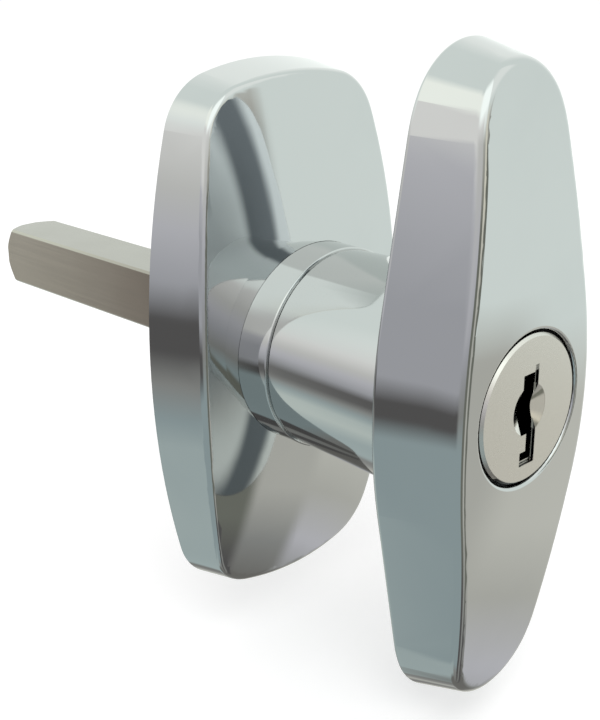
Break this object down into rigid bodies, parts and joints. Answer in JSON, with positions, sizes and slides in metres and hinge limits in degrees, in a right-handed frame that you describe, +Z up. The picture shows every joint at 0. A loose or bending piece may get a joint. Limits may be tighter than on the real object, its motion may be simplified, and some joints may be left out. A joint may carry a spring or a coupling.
{
  "type": "locking T-handle",
  "caption": "Chromed locking T-handle for a hatch or door: a crowned grip with a key lock turns a square spindle through a drafted base plate.",
  "frame": {"origin": "on the spindle's axis, in the plane where the base plate's back meets the door, midway between the two screw holes", "axes": "+Z up along the upright grip, +Y along the spindle away from the user, so the lock faces -Y"},
  "size_m": [0.0362, 0.0917, 0.075],
  "materials": {
    "chromed_zinc": "bright chrome plate on a zinc die casting",
    "satin_nickel": "satin nickel plate",
    "drawn_steel": "satin, nickel-plated drawn bar",
    "zinc_plated_steel": "zinc-plated pressed steel",
    "spring_steel": "blackened spring steel",
    "lock_brass": "plain machined brass",
    "seal_rubber": "moulded rubber"
  },
  "bodies": {
    "base": {"base_plate": "chromed_zinc", "collar_ring": "chromed_zinc", "wave_washer": "spring_steel"},
    "handle": {"handle_casting": "chromed_zinc", "lock_sleeve": "lock_brass", "sleeve_snap_ring": "spring_steel", "spindle": "drawn_steel", "spindle_pin": "drawn_steel", "hub_seal": "seal_rubber", "stop_washer": "zinc_plated_steel", "hub_circlip": "spring_steel"},
    "plug": {"lock_plug": "satin_nickel", "plug_clip": "spring_steel", "wafer_springs": "spring_steel"},
    "bolt": {"locking_bolt": "drawn_steel"},
    "wafers": {"wafer_1": "lock_brass", "wafer_2": "lock_brass", "wafer_3": "lock_brass", "wafer_4": "lock_brass", "wafer_5": "lock_brass"}
  },
  "joints": [
    {"name": "handle_turn", "type": "hinge", "parent": "base", "child": "handle", "pos_m": [0, 0, 0], "axis": [0, 1, 0], "range_deg": [0, 90]},
    {"name": "plug_turn", "type": "hinge", "parent": "handle", "child": "plug", "pos_m": [0, 0, 0], "axis": [0, 1, 0], "range_deg": [0, 90]},
    {"name": "bolt_slide", "type": "slide", "parent": "handle", "child": "bolt", "axis": [0, 0, -1], "range_m": [0, 0.00184]},
    {"name": "wafer_slide", "type": "slide", "parent": "plug", "child": "wafers", "axis": [0, 0, 1], "range_m": [0, 0.0007], "deforming": ["wafer_springs"]}
  ],
  "couplings": [
    {"joint": "plug_turn", "follows": "bolt_slide", "rad_per_m": 854.4}
  ]
}
